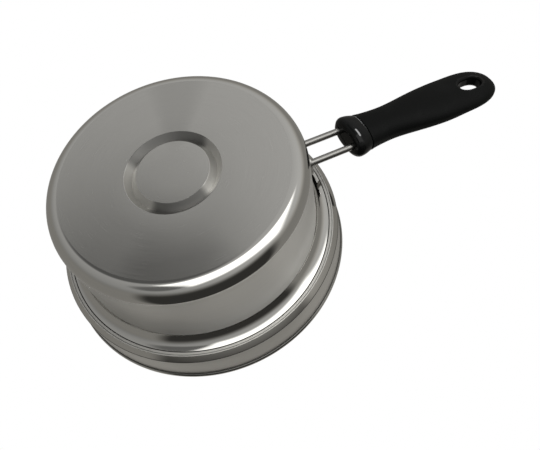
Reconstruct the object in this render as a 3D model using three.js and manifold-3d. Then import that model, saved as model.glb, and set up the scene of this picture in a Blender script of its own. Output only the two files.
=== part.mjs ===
// Ramen pot: a stepped stainless saucepan with a black grip on two steel rods.
// Millimetres, +Z up. The origin is the centre of the base, and the handle points along +X.

import * as THREE from 'three';
import { mergeVertices } from 'three/addons/utils/BufferGeometryUtils.js';
import Module from 'manifold-3d';

// Pot body, drawn from one sheet
const sheetThickness = 0.6;
const mouthDiameter = 180;
const bodyHeight = 86.2;
const baseCornerRadius = 9.3;
const shoulderSize = 7.3;
const shoulderFootSlope = THREE.MathUtils.degToRad(75);
const shoulderLipSlope = THREE.MathUtils.degToRad(15);
const ledgeWidth = 3.0;
const stepSize = 2.9;
const mouthBandHeight = 18.7;
const mouthBandFlare = 0.7;
const rimCurlWidth = 1.9;
const rimCurlHeight = 3.6;

// Ring groove pressed up into the base
const grooveDiameter = 49.5;
const grooveWidth = 7.2;
const grooveDepth = 3.85;
const grooveLipRadius = 1.2;

// Bracket plate on the wall, just under the shoulder
const bracketThickness = 1.2;
const bracketSideMargin = 3;
const bracketEdgeMargin = 4.8;
const bracketCornerRadius = 4;
const bracketDrop = 0.5;

// Handle rods
const rodDiameter = 4.5;
const rodSpacing = 16;
const rodFreeLength = 35.8;
const rodDepthInGrip = 24;
const handleRise = THREE.MathUtils.degToRad(10.7);

// Collar at the front of the grip
const collarLength = 12.9;
const collarSideWall = 5.45;
const collarFaceWall = 7.7;
const collarEdgeRadius = 4.4;
const seamSideWall = 3.85;
const seamFaceWall = 6.55;

// Grip, measured from its front face at the collar
const gripNeckSideWall = 2.2;
const gripNeckDistance = 18.5;
const gripSwellLength = 53.5;
const gripWidth = 33.6;
const gripFlatLength = 9.3;
const gripEndLength = 30.6;
const gripFallLength = 13.4;
const gripTopHeight = 7.6;
const gripEndHeight = 1.8;
const gripEndDepth = 8;
const gripTipTopLength = 6;
const gripTipBellyLength = 19;

// Hang hole through the end of the grip
const hangHoleLength = 17.4;
const hangHoleWidth = 9.6;
const hangHoleBellyRadius = 2.6;
const hangHoleTopRadius = 2.8;
const hangHoleFromTip = 21.6;

// Clearances between pieces that touch
const weldGap = 0.3;
const rodClearance = 0.3;
const seamGap = 0.3;

// How square the handle's rounded sections are: 2 is an ellipse
const sectionSquareness = 2.3;
const endSquareness = 2.25;

// Facets
const bodySegments = 90;
const ringSegments = 120;
const rodSides = 16;
const sectionSides = 32;
const arcSteps = 5;
const lipSteps = 2;
const taperSteps = 4;
const curlSteps = 9;
const neckSteps = 7;
const swellSteps = 9;
const gripEndSteps = 11;

// Sizes that follow from the ones above
const mouthRadius = mouthDiameter / 2;
const bandTopRadius = mouthRadius + sheetThickness;
const bandFootRadius = bandTopRadius - mouthBandFlare;
const ledgeOuterRadius = bandFootRadius - stepSize;
const wallRadius = ledgeOuterRadius - ledgeWidth - shoulderSize;
const baseFlatRadius = wallRadius - baseCornerRadius;
const curlFootHeight = bodyHeight - rimCurlHeight;
const bandFootHeight = curlFootHeight - mouthBandHeight;
const ledgeHeight = bandFootHeight - stepSize;
const wallTopHeight = ledgeHeight - shoulderSize;
const rodRadius = rodDiameter / 2;
const rodPairWidth = rodSpacing + rodDiameter;
const bracketWidth = rodPairWidth + 2 * bracketSideMargin;
const bracketHeight = rodDiameter + 2 * bracketEdgeMargin;
const bracketInnerRadius = wallRadius + weldGap;
const bracketOuterRadius = bracketInnerRadius + bracketThickness;
const handleHeight = wallTopHeight - bracketDrop - bracketHeight / 2;
const collarWidth = rodPairWidth + 2 * collarSideWall;
const collarThickness = rodDiameter + 2 * collarFaceWall;
const seamWidth = rodPairWidth + 2 * seamSideWall;
const seamThickness = rodDiameter + 2 * seamFaceWall;
const gripNeckWidth = rodPairWidth + 2 * gripNeckSideWall;
const gripStart = rodFreeLength + collarLength;
const gripWidestDistance = gripNeckDistance + gripSwellLength;
const gripEndStart = gripWidestDistance + gripFlatLength;
const gripLength = gripEndStart + gripEndLength;
const gripFallStart = gripWidestDistance - gripFallLength;
const hangHoleDistance = gripLength - hangHoleFromTip;
const rodEnd = gripStart + rodDepthInGrip;

const wasm = await Module();
wasm.setup();

const bodySteel = new THREE.MeshStandardMaterial({ color: 0xb6b4b0, metalness: 1, roughness: 0.34 });
const bracketSteel = new THREE.MeshStandardMaterial({ color: 0xb0aeaa, metalness: 1, roughness: 0.4 });
const rodSteel = new THREE.MeshStandardMaterial({ color: 0xc4c2be, metalness: 1, roughness: 0.24 });
const collarResin = new THREE.MeshStandardMaterial({ color: 0x151617, metalness: 0, roughness: 0.28 });
const gripResin = new THREE.MeshStandardMaterial({ color: 0x1d1f1f, metalness: 0, roughness: 0.6 });

// Closed mesh to a solid that can be cut and joined
function toSolid(geometry) {
  const bare = geometry.clone();
  bare.deleteAttribute('normal');
  bare.deleteAttribute('uv');
  const merged = mergeVertices(bare);
  return new wasm.Manifold(new wasm.Mesh({
    numProp: 3,
    vertProperties: new Float32Array(merged.attributes.position.array),
    triVerts: new Uint32Array(merged.index.array),
  }));
}

function toGeometry(solid) {
  const mesh = solid.getMesh();
  const geometry = new THREE.BufferGeometry();
  geometry.setAttribute('position', new THREE.BufferAttribute(new Float32Array(mesh.vertProperties), 3));
  geometry.setIndex(new THREE.BufferAttribute(new Uint32Array(mesh.triVerts), 1));
  geometry.computeVertexNormals();
  return geometry;
}

function cut(geometry, tools) {
  const solid = tools.reduce((rest, tool) => rest.subtract(toSolid(tool)), toSolid(geometry));
  return toGeometry(solid);
}

// Revolve of a profile of (radius, height) points about the pot's axis
function revolve(profile, segments) {
  return new THREE.LatheGeometry(profile, segments).rotateX(Math.PI / 2);
}

// Skin over a row of rings with equal point counts, capped at both ends
function loft(rings) {
  const sides = rings[0].length;
  const last = rings.length - 1;
  const centre = (ring) => {
    const sum = ring.reduce((total, point) => total.add(point), new THREE.Vector3());
    return sum.divideScalar(sides);
  };
  const points = [...rings.flat(), centre(rings[0]), centre(rings[last])];
  const startCentre = rings.length * sides;
  const index = [];
  for (let side = 0; side < sides; side += 1) {
    const next = (side + 1) % sides;
    for (let row = 0; row < last; row += 1) {
      const near = row * sides;
      const far = near + sides;
      index.push(near + side, near + next, far + next, near + side, far + next, far + side);
    }
    index.push(startCentre, next, side);
    index.push(startCentre + 1, last * sides + side, last * sides + next);
  }
  const geometry = new THREE.BufferGeometry().setFromPoints(points);
  geometry.setIndex(index);
  geometry.computeVertexNormals();
  return geometry;
}

// Rounded outline between an ellipse and a rectangle, as pairs of coordinates
function roundedOutline(halfWidth, halfThickness, squareness) {
  const power = 2 / squareness;
  const bulge = (value) => Math.sign(value) * Math.abs(value) ** power;
  return Array.from({ length: sectionSides }, (unused, side) => {
    const angle = (2 * Math.PI * side) / sectionSides;
    return [halfWidth * bulge(Math.cos(angle)), halfThickness * bulge(Math.sin(angle))];
  });
}

// Section of the handle, square to its length, with its own height above and depth below the rods
function handleSection(distance, halfWidth, height, depth) {
  const outline = roundedOutline(halfWidth, 1, sectionSquareness);
  return outline.map(([across, up]) => new THREE.Vector3(distance, across, up * (up > 0 ? height : depth)));
}

// Arc of a profile, from one angle to another about its centre
function arc(radius, height, size, from, to) {
  const curve = new THREE.EllipseCurve(radius, height, size, size, from, to, to < from);
  return curve.getPoints(arcSteps);
}

// The inner face of the sheet: the outer profile moved inwards by the sheet's thickness
function innerFace(outer) {
  return outer.map((point, place) => {
    const before = outer[Math.max(place - 1, 0)];
    const after = outer[Math.min(place + 1, outer.length - 1)];
    const arriving = point.clone().sub(before).normalize();
    const leaving = after.clone().sub(point).normalize();
    const along = arriving.clone().add(leaving).normalize();
    const inward = new THREE.Vector2(-along.y, along.x);
    const lean = Math.max(inward.dot(new THREE.Vector2(-leaving.y, leaving.x)),
      inward.dot(new THREE.Vector2(-arriving.y, arriving.x)));
    return point.clone().addScaledVector(inward, sheetThickness / lean);
  });
}

// One lip of the ring groove, rounded from the flat base to the slope of the groove's wall
function grooveLip(start, outwards) {
  const halfWidth = grooveWidth / 2;
  const rise = grooveDepth - grooveLipRadius;
  const slope = Math.atan2(rise, halfWidth) + Math.asin(grooveLipRadius / Math.hypot(halfWidth, rise));
  return Array.from({ length: lipSteps + 1 }, (unused, step) => {
    const angle = slope * (step / lipSteps);
    return new THREE.Vector2(start + outwards * grooveLipRadius * Math.sin(angle),
      grooveLipRadius * (1 - Math.cos(angle)));
  });
}

// The hollow shoulder, which leaves the wall steeply and flattens out towards the ledge
function hollowShoulder() {
  const quarter = Math.PI / 2;
  const size = shoulderSize / (Math.sin(shoulderFootSlope) - Math.sin(shoulderLipSlope));
  const radius = wallRadius + size * Math.sin(shoulderFootSlope);
  const height = wallTopHeight - size * Math.cos(shoulderFootSlope);
  return arc(radius, height, size, quarter + shoulderFootSlope, quarter + shoulderLipSlope);
}

// The sheet's outer profile, from the middle of the base up to the foot of the curl
function outerProfile() {
  const quarter = Math.PI / 2;
  const grooveRadius = grooveDiameter / 2;
  return [
    new THREE.Vector2(0, 0),
    ...grooveLip(grooveRadius - grooveWidth / 2, 1),
    new THREE.Vector2(grooveRadius, grooveDepth),
    ...grooveLip(grooveRadius + grooveWidth / 2, -1).reverse(),
    ...arc(baseFlatRadius, baseCornerRadius, baseCornerRadius, -quarter, 0),
    ...hollowShoulder(),
    new THREE.Vector2(ledgeOuterRadius, ledgeHeight),
    new THREE.Vector2(bandFootRadius, bandFootHeight),
    new THREE.Vector2(bandTopRadius, curlFootHeight),
  ];
}

// The curled rim, from its foot outside the band over the top to the inner face
function curlProfile() {
  const halfWidth = rimCurlWidth / 2;
  const middle = mouthRadius + halfWidth;
  const foot = -Math.acos((bandTopRadius - middle) / halfWidth);
  const curve = new THREE.EllipseCurve(middle, curlFootHeight + rimCurlHeight / 2,
    halfWidth, rimCurlHeight / 2, foot, Math.PI, false);
  return curve.getPoints(curlSteps);
}

function potBody() {
  const outer = outerProfile();
  const inner = innerFace(outer);
  inner[0].x = 0;
  const profile = [...outer.slice(0, -1), ...curlProfile(), ...inner.reverse()];
  return revolve(profile, bodySegments);
}

// A ring of the plate's thickness round the wall, cropped to a plate with round corners
function handleBracket() {
  const halfHeight = bracketHeight / 2;
  const ring = revolve([
    new THREE.Vector2(bracketInnerRadius, handleHeight - halfHeight),
    new THREE.Vector2(bracketOuterRadius, handleHeight - halfHeight),
    new THREE.Vector2(bracketOuterRadius, handleHeight + halfHeight),
    new THREE.Vector2(bracketInnerRadius, handleHeight + halfHeight),
    new THREE.Vector2(bracketInnerRadius, handleHeight - halfHeight),
  ], ringSegments);
  const side = bracketWidth / 2 - bracketCornerRadius;
  const edge = halfHeight - bracketCornerRadius;
  const quarter = Math.PI / 2;
  const outline = new THREE.Shape()
    .absarc(side, edge, bracketCornerRadius, 0, quarter, false)
    .absarc(-side, edge, bracketCornerRadius, quarter, 2 * quarter, false)
    .absarc(-side, -edge, bracketCornerRadius, 2 * quarter, 3 * quarter, false)
    .absarc(side, -edge, bracketCornerRadius, 3 * quarter, 4 * quarter, false);
  const crop = new THREE.ExtrudeGeometry(outline, {
    depth: 2 * bracketOuterRadius,
    bevelEnabled: false,
    curveSegments: arcSteps,
  });
  crop.rotateZ(quarter).rotateY(quarter).translate(0, 0, handleHeight);
  return toGeometry(toSolid(ring).intersect(toSolid(crop)));
}

// Round bar along the handle, between two distances from the wall
function bar(radius, from, to, across) {
  const geometry = new THREE.CylinderGeometry(radius, radius, to - from, rodSides);
  return geometry.rotateZ(Math.PI / 2).translate((from + to) / 2, across, 0);
}

// Rod with its root shaped to the curved face of the bracket
function handleRod(across, toHandle) {
  const reach = bracketOuterRadius + weldGap;
  const face = new THREE.CylinderGeometry(reach, reach, 2 * bodyHeight, ringSegments);
  face.rotateX(Math.PI / 2).applyMatrix4(toHandle);
  return cut(bar(rodRadius, -rodDiameter, rodEnd, across), [face]);
}

function rodBores() {
  const radius = rodRadius + rodClearance;
  return [-1, 1].map((side) => bar(radius, 0, rodEnd + rodClearance, (side * rodSpacing) / 2));
}

// Collar: rounded over to a flat front face, and drawn in from its widest ring to the seam
function gripCollar() {
  const quarter = Math.PI / 2;
  const rings = [];
  const addRing = (distance, width, thickness) => {
    rings.push(handleSection(distance, width / 2, thickness / 2, thickness / 2));
  };
  for (let step = 0; step <= arcSteps; step += 1) {
    const angle = quarter * (step / arcSteps);
    const inset = collarEdgeRadius * (1 - Math.sin(angle));
    const distance = rodFreeLength + collarEdgeRadius * (1 - Math.cos(angle));
    addRing(distance, collarWidth - 2 * inset, collarThickness - 2 * inset);
  }
  const widest = rodFreeLength + collarEdgeRadius;
  for (let step = 1; step <= taperSteps; step += 1) {
    const share = step / taperSteps;
    const fall = 1 - Math.cos(quarter * share);
    addRing(THREE.MathUtils.lerp(widest, gripStart - seamGap, share),
      THREE.MathUtils.lerp(collarWidth, seamWidth, fall),
      THREE.MathUtils.lerp(collarThickness, seamThickness, fall));
  }
  return cut(loft(rings), rodBores());
}

// Side outline of the grip in front of its rounded end: in to the neck, then out to the widest place
function gripOutline() {
  const front = new THREE.Vector2(0, seamWidth / 2);
  const neck = new THREE.Vector2(gripNeckDistance, gripNeckWidth / 2);
  const widest = new THREE.Vector2(gripWidestDistance, gripWidth / 2);
  const neckLead = gripNeckDistance / 3;
  const frontLead = new THREE.Vector2(neckLead / 2, (front.y + neck.y) / 2);
  const neckArrival = new THREE.Vector2(neck.x - neckLead, neck.y);
  const flare = new THREE.CubicBezierCurve(front, frontLead, neckArrival, neck);
  const swellLead = new THREE.Vector2(neck.x + gripSwellLength / 4, neck.y);
  const swellArrival = new THREE.Vector2(widest.x - gripSwellLength / 2, widest.y);
  const swell = new THREE.CubicBezierCurve(neck, swellLead, swellArrival, widest);
  return [...flare.getPoints(neckSteps), ...swell.getPoints(swellSteps).slice(1)];
}

// Share of the full height or depth that is left near the rounded tip
function tipShare(distance, length) {
  const into = Math.max(distance - (gripLength - length), 0) / length;
  return Math.sqrt(Math.max(1 - into * into, 0));
}

// Section of the grip: its belly stays deep while its top falls away before the hang hole
function gripSection(distance, halfWidth) {
  const { lerp, smoothstep } = THREE.MathUtils;
  const half = seamThickness / 2;
  const top = lerp(half, gripTopHeight, Math.min(distance / gripFallStart, 1));
  const height = lerp(top, gripEndHeight, smoothstep(distance, gripFallStart, hangHoleDistance));
  const depth = lerp(half, gripEndDepth, Math.min(distance / hangHoleDistance, 1));
  return handleSection(gripStart + distance, halfWidth,
    height * tipShare(distance, gripTipTopLength), depth * tipShare(distance, gripTipBellyLength));
}

// Heights and growths of the hang hole's tool from outside a face down its round edge
function holeEdge(face, radius) {
  const levels = [[face + radius, radius]];
  for (let step = 0; step <= arcSteps; step += 1) {
    const angle = (Math.PI / 2) * (step / arcSteps);
    levels.push([face - radius * (1 - Math.cos(angle)), radius * (1 - Math.sin(angle))]);
  }
  return levels;
}

// Oval tool for the hang hole, flared by a round edge at the top and at the belly
function hangHole() {
  const middle = gripStart + hangHoleDistance;
  const top = holeEdge(gripEndHeight, hangHoleTopRadius);
  const belly = holeEdge(gripEndDepth, hangHoleBellyRadius).map(([depth, growth]) => [-depth, growth]);
  const rings = [...top, ...belly.reverse()].map(([height, growth]) => {
    const halfLength = hangHoleLength / 2 + growth;
    const halfWidth = hangHoleWidth / 2 + growth;
    const outline = roundedOutline(halfLength, halfWidth, sectionSquareness);
    return outline.map(([along, across]) => new THREE.Vector3(middle + along, -across, height));
  });
  return loft(rings);
}

// Grip: lofted to a round end that stops just short of a point, then bored and pierced
function grip() {
  const rings = gripOutline().map((point) => gripSection(point.x, point.y));
  const power = 2 / endSquareness;
  const closure = 0.97;
  const lastAngle = closure * (Math.PI / 2);
  for (let step = 0; step <= gripEndSteps; step += 1) {
    const angle = lastAngle * (step / gripEndSteps);
    const distance = gripEndStart + gripEndLength * Math.sin(angle) ** power;
    rings.push(gripSection(distance, (gripWidth / 2) * Math.cos(angle) ** power));
  }
  return cut(loft(rings), [...rodBores(), hangHole()]);
}

function piece(name, geometry, material) {
  const mesh = new THREE.Mesh(geometry, material);
  mesh.name = name;
  return mesh;
}

const handle = new THREE.Group();
handle.position.set(wallRadius, 0, handleHeight);
handle.rotation.y = -handleRise;
handle.updateMatrix();
const toHandle = handle.matrix.clone().invert();
handle.add(
  piece('handle_rod_left', handleRod(rodSpacing / 2, toHandle), rodSteel),
  piece('handle_rod_right', handleRod(-rodSpacing / 2, toHandle), rodSteel),
  piece('grip_collar', gripCollar(), collarResin),
  piece('grip', grip(), gripResin),
);

const ramenPot = new THREE.Group();
ramenPot.add(
  piece('pot_body', potBody(), bodySteel),
  piece('handle_bracket', handleBracket(), bracketSteel),
  handle,
);

export default ramenPot;
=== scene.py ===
"""Ramen pot: a stepped stainless saucepan with a black grip on two steel rods.

Laid out as an add-on that runs as a script. Each operator shapes one piece in place around the
loaded frame. Metres, +Z up out of the mouth, +X along the handle, origin at the base's centre.
"""
import math
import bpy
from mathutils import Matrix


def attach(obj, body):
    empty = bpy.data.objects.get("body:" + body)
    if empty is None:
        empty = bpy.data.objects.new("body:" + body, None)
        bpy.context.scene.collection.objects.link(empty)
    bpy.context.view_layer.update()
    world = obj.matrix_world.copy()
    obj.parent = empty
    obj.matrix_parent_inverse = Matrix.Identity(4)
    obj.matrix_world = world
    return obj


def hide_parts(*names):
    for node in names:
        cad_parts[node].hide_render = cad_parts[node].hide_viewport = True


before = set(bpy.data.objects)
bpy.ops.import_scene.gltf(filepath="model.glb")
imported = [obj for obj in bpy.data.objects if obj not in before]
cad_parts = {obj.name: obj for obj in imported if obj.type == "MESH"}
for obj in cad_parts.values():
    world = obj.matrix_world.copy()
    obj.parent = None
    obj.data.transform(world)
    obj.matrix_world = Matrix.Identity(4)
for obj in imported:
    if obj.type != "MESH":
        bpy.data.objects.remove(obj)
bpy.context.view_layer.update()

from types import SimpleNamespace

import bmesh
import bpy
from bpy.props import FloatProperty, FloatVectorProperty, IntProperty, PointerProperty
from mathutils import Matrix, Vector

bl_info = {
    "name": "Ramen pot",
    "version": (1, 0, 0),
    "blender": (4, 5, 0),
    "location": "3D View > Sidebar > Ramen pot",
    "description": "Models a stepped steel pot with a rod handle, and its studio",
    "category": "Add Mesh",
}

BODY = "root"
IMAGE_WIDTH, IMAGE_HEIGHT = 540, 450
SENSOR_MM = 36
QUARTER = math.pi / 2

# Points nearer than the first are merged, and edges that carving leaves below the second go
SAME_POINT = 1e-6
SHORTEST_EDGE = 2e-6

# Round bars and their bores: facets to a quarter, bevel of a mouth, lead of a cutter before it
BAR_STEPS = 9
BORE_MOUTH = 0.0003
BORE_LEAD = 0.002

# Painted shade round the base: dark arcs in the ring groove and two shades of the brushed sheen; middle,
# half width and soft edge of each, in degrees
GROOVE_ARCS = ((282.5, 56.5, 7.0), (103.5, 39.5, 7.0))
NEAR_SHADE = ((297.0, 10.0, 10.0),)
FAR_SHADE = ((112.0, 17.0, 17.0),)

# Radii between which each shade sets in
NEAR_SHADE_RADII = (0.008, 0.034)
FAR_SHADE_RADII = (0.036, 0.06)


def length(name, description, default):
    """A size in metres that a user may change."""
    return FloatProperty(name=name, description=description, default=default, unit="LENGTH", precision=5)


def turn(name, description, degrees):
    """An angle that a user may change."""
    return FloatProperty(name=name, description=description, default=math.radians(degrees), unit="ROTATION")


def share(name, description, default):
    """A number from 0 to 1 that a user may change."""
    return FloatProperty(name=name, description=description, default=default, min=0.0, max=1.0,
                         subtype="FACTOR")


def colour(name, description, default):
    """A colour that a user may change."""
    return FloatVectorProperty(name=name, description=description, default=default, size=3,
                               min=0.0, max=1.0, subtype="COLOR")


def count(name, description, default):
    """A number of facets that a user may change."""
    return IntProperty(name=name, description=description, default=default, min=1)


class RamenPotBodySizes(bpy.types.PropertyGroup):
    """Sizes of the drawn steel shell."""
    sheet: length("Sheet", "Thickness of the drawn sheet", 0.0006)
    base_flat_radius: length("Base flat", "Radius of the flat base", 0.0674)
    base_corner: length("Base corner", "Radius of the polished base corner", 0.0093)
    wall_top: length("Wall top", "Height at which the wall turns out", 0.0537)
    shoulder: length("Shoulder", "How far the hollow shoulder spreads and climbs", 0.0073)
    shoulder_foot: turn("Shoulder foot", "Slope of the shoulder where it leaves the wall", 75)
    shoulder_lip: turn("Shoulder lip", "Slope of the shoulder where it meets the ledge", 15)
    ledge: length("Ledge", "Width of the flat ledge", 0.0030)
    step: length("Step", "How far the step spreads and climbs", 0.0029)
    step_edge: length("Step edge", "Radius of the edge between step and band", 0.0005)
    band: length("Mouth band", "Height of the mouth band", 0.0187)
    flare: length("Flare", "How far the band leans out", 0.0007)
    curl_width: length("Curl width", "Width of the curled rim", 0.0019)
    curl_height: length("Curl height", "Height of the curled rim", 0.0036)
    groove_radius: length("Groove radius", "Radius of the ring groove in the base", 0.02475)
    groove_half: length("Groove half width", "Half the width of the ring groove", 0.0036)
    groove_depth: length("Groove depth", "Depth of the ring groove", 0.00385)
    groove_lip: length("Groove lip", "Radius of the ring groove's lips", 0.0004)
    line: length("Turned line", "Width of the fine turned lines", 0.0005)
    segments: count("Segments", "Facets around the pot", 240)
    arc_steps: count("Arc steps", "Facets along each rounded corner", 12)


class RamenPotHandleSizes(bpy.types.PropertyGroup):
    """Sizes of the bracket, rods, collar and grip."""
    wall_radius: length("Wall radius", "Outer radius of the wall that carries the handle", 0.0767)
    height: length("Handle height", "Height at which the rods meet the wall", 0.04615)
    rise: turn("Rise", "How steeply the handle rises", 10.7)
    plate_gap: length("Plate gap", "Space between wall and bracket", 0.0003)
    plate: length("Plate", "Thickness of the bracket", 0.0012)
    plate_width: length("Plate width", "Width of the bracket round the wall", 0.0265)
    plate_height: length("Plate height", "Height of the bracket", 0.0141)
    plate_corner: length("Plate corner", "Radius of the bracket's corners", 0.004)
    rod: length("Rod", "Diameter of each rod", 0.0045)
    rod_spacing: length("Rod spacing", "Distance between the rods", 0.016)
    rod_start: length("Rod start", "Where the weld of a rod begins", 0.0006)
    rod_end: length("Rod end", "Where a rod ends inside the grip", 0.0727)
    weld: length("Weld", "Size of the weld at a rod's root", 0.0013)
    bore_gap: length("Bore gap", "Clearance round a rod in its bore", 0.0003)
    collar_start: length("Collar start", "Distance of the collar's face from the wall", 0.0358)
    collar_end: length("Collar end", "Where the collar meets the grip", 0.0484)
    collar_width: length("Collar width", "Widest width of the collar", 0.0314)
    collar_thickness: length("Collar thickness", "Greatest thickness of the collar", 0.0199)
    seam_width: length("Seam width", "Width where collar and grip meet", 0.0282)
    seam_thickness: length("Seam thickness", "Thickness where collar and grip meet", 0.0176)
    collar_edge: length("Collar edge", "Radius of the collar's front edge", 0.0044)
    seam_edge: length("Seam edge", "Radius of the edges at the seam", 0.0005)
    grip_start: length("Grip start", "Where the grip begins", 0.0487)
    neck: length("Neck", "Distance of the neck behind the seam", 0.0185)
    neck_width: length("Neck width", "Width of the grip at its neck", 0.0249)
    swell: length("Swell", "Length from the neck to the widest place", 0.0535)
    grip_width: length("Grip width", "Widest width of the grip", 0.0336)
    flat: length("Flat", "Length of the grip's parallel part", 0.0093)
    end: length("End", "Length of the grip's rounded end", 0.0306)
    top: length("Top", "Height of the top before it falls away", 0.0076)
    fall: length("Fall", "Length in front of the widest place where the top begins to fall", 0.0134)
    end_below: length("End belly", "Depth of the belly at the hang hole", 0.0080)
    end_above: length("End top", "Height of the top at the hang hole", 0.0018)
    tip_below: length("Tip belly", "Length over which the belly rounds up to the tip", 0.019)
    tip_above: length("Tip top", "Length over which the top rounds down to the tip", 0.006)
    hole_length: length("Hole length", "Length of the hang hole", 0.0174)
    hole_width: length("Hole width", "Width of the hang hole", 0.0096)
    hole_lower_edge: length("Hole lower edge", "Radius of the hang hole's edge in the belly", 0.0026)
    hole_upper_edge: length("Hole upper edge", "Radius of the hang hole's edge in the top", 0.0028)
    hole_from_tip: length("Hole from tip", "Distance of the hang hole from the tip", 0.0216)
    rounding: share("Rounding", "How round the collar's and grip's sections are", 0.86)
    section_steps: count("Section steps", "Facets on each corner of a section", 14)


class RamenPotFinishes(bpy.types.PropertyGroup):
    """Colours and roughness of the pieces."""
    steel: colour("Steel", "Colour of the drawn steel", (0.66, 0.652, 0.624))
    steel_dull: colour("Dull steel", "Colour of the steel in its brush marks", (0.58, 0.573, 0.546))
    rod_steel: colour("Rod steel", "Colour of the drawn rods", (0.37, 0.364, 0.347))
    collar_black: colour("Collar black", "Colour of the glossy collar", (0.0018, 0.0018, 0.0019))
    grip_black: colour("Grip black", "Colour of the matt grip", (0.0022, 0.0025, 0.0024))
    grip_worn: colour("Grip worn", "Colour of the grip's worn grain", (0.0042, 0.0046, 0.0044))
    # Painted highlight: the light line along the collar's rear edge, where it meets the grip
    painted_seam_highlight: colour("Worn edge", "Colour of the collar's rubbed rear edge", (0.16, 0.165, 0.165))
    # Painted shade: the dark colour painted into the turned lines and along the ring groove's lips
    painted_crease_shade: colour("Grime", "Colour of the residue in the turned lines", (0.03, 0.03, 0.028))
    # Painted shade in the ring groove's arcs, over the whole groove and in two sectors of the base; the
    # same colour is also the dull steel of the bracket's stain and the rods' welds
    dull_steel_and_painted_shade: colour("Dull arc", "Colour of the dull arcs in the ring groove", (0.26, 0.257, 0.247))
    # How much painted shade covers the ring groove outside its painted arcs
    painted_groove_shade: share("Groove dullness", "Dullness of the ring groove between its dull arcs", 0.06)
    # Strengths of the painted shades that stand in for the brushed base's sheen
    near_shade: share("Near shade", "Strength of the brushing's shade near the groove", 0.22)
    far_shade: share("Far shade", "Strength of the brushing's shade near the base corner", 0.4)
    scatter_foot: share("Scatter at the foot", "Light scattered by the satin wall at its foot", 0.2)
    scatter_top: share("Scatter at the top", "Light scattered by the satin wall at its top", 0.5)
    base_rough: share("Base roughness", "Roughness of the brushed base", 0.24)
    wall_rough: share("Wall roughness", "Roughness of the satin wall", 0.34)
    band_rough: share("Band roughness", "Roughness of the satin mouth band", 0.38)
    polish_rough: share("Polish", "Roughness of the polished corners", 0.07)
    inside_rough: share("Inside roughness", "Roughness of the pot's inside", 0.3)
    bracket_rough: share("Bracket roughness", "Roughness of the bracket", 0.38)
    rod_rough: share("Rod roughness", "Roughness of the rods", 0.3)
    collar_rough: share("Collar roughness", "Roughness of the collar", 0.05)
    grip_rough: share("Grip roughness", "Roughness of the grip", 0.52)


class RamenPotStudio(bpy.types.PropertyGroup):
    """The camera's place, and the floor."""
    focal: FloatProperty(name="Focal length", description="Focal length in image widths",
                         default=600 / IMAGE_WIDTH)
    tilt: turn("Tilt", "Angle between the view and the pot's axis at the image centre", 31.135)
    roll: turn("Roll", "How far the camera is rolled", 15.019)
    azimuth: turn("Azimuth", "How far the handle is turned from the image's left", 164.158)
    depth: length("Depth", "Depth of the base's centre from the camera", 0.33578)
    seen_x: share("Seen x", "Base centre across the image, in widths", 172.50 / IMAGE_WIDTH)
    seen_y: share("Seen y", "Base centre down the image, in heights", 171.06 / IMAGE_HEIGHT)
    floor_colour: colour("Floor", "Colour of the floor", (0.86, 0.86, 0.855))


def clear_selection():
    """Object mode with nothing selected, so that an operator acts on the new piece alone."""
    if bpy.context.mode != "OBJECT":
        bpy.ops.object.mode_set(mode="OBJECT")
    bpy.ops.object.select_all(action="DESELECT")


def pick(piece):
    """Select one piece and make it active."""
    clear_selection()
    piece.select_set(True)
    bpy.context.view_layer.objects.active = piece


def opened(piece):
    """Open one piece for shaping, with all of it selected."""
    pick(piece)
    bpy.ops.object.mode_set(mode="EDIT")
    bpy.ops.mesh.select_all(action="SELECT")


def named(name):
    """Name the new primitive and open it for shaping."""
    piece = bpy.context.object
    piece.name = name
    piece.data.name = name
    opened(piece)
    return piece


def close_surface():
    """Merge doubled points and turn every face outwards."""
    bpy.ops.mesh.select_all(action="SELECT")
    bpy.ops.mesh.remove_doubles(threshold=SAME_POINT)
    bpy.ops.mesh.normals_make_consistent(inside=False)


def spun(name, profile, segments):
    """Extrude one point along a profile of (radius, height) and spin the line about the pot's axis."""
    clear_selection()
    bpy.ops.mesh.primitive_plane_add(size=0.001)
    piece = named(name)
    bpy.ops.mesh.merge(type="CENTER")
    places = [Vector((radius, 0.0, height)) for radius, height in profile]
    bpy.ops.transform.translate(value=places[0])
    for before, after in zip(places, places[1:]):
        bpy.ops.mesh.extrude_vertices_move(TRANSFORM_OT_translate={"value": after - before})
    bpy.ops.mesh.select_all(action="SELECT")
    bpy.ops.mesh.spin(steps=segments, angle=2 * math.pi, center=(0, 0, 0), axis=(0, 0, 1))
    close_surface()
    bpy.ops.object.mode_set(mode="OBJECT")
    return piece


def lofted(name, rings, rounding, corner_steps, axis):
    """Round a square's corners, then extrude and scale it from ring to ring along X (0) or Z (2).

    Each ring is (place along the axis, half size, other half size).
    """
    clear_selection()
    along_x = axis == 0
    bpy.ops.mesh.primitive_plane_add(size=2, rotation=(0, QUARTER if along_x else 0, 0))
    bpy.ops.object.transform_apply(location=False, rotation=True, scale=False)
    piece = named(name)
    bpy.ops.mesh.bevel(affect="VERTICES", offset_type="OFFSET", offset=rounding, segments=corner_steps,
                       profile=0.5, clamp_overlap=True)
    bpy.ops.mesh.select_all(action="SELECT")

    def spread(first, second):
        return (1, first, second) if along_x else (first, second, 1)

    def shift(distance):
        return (distance, 0, 0) if along_x else (0, 0, distance)

    place, first, second = rings[0]
    bpy.ops.transform.resize(value=spread(first, second), center_override=(0, 0, 0))
    bpy.ops.transform.translate(value=shift(place))
    for next_place, next_first, next_second in rings[1:]:
        bpy.ops.mesh.extrude_region_move(TRANSFORM_OT_translate={"value": shift(next_place - place)})
        bpy.ops.transform.resize(value=spread(next_first / first, next_second / second),
                                 center_override=shift(next_place))
        place, first, second = next_place, next_first, next_second
    close_surface()
    bpy.ops.object.mode_set(mode="OBJECT")
    return piece


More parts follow.
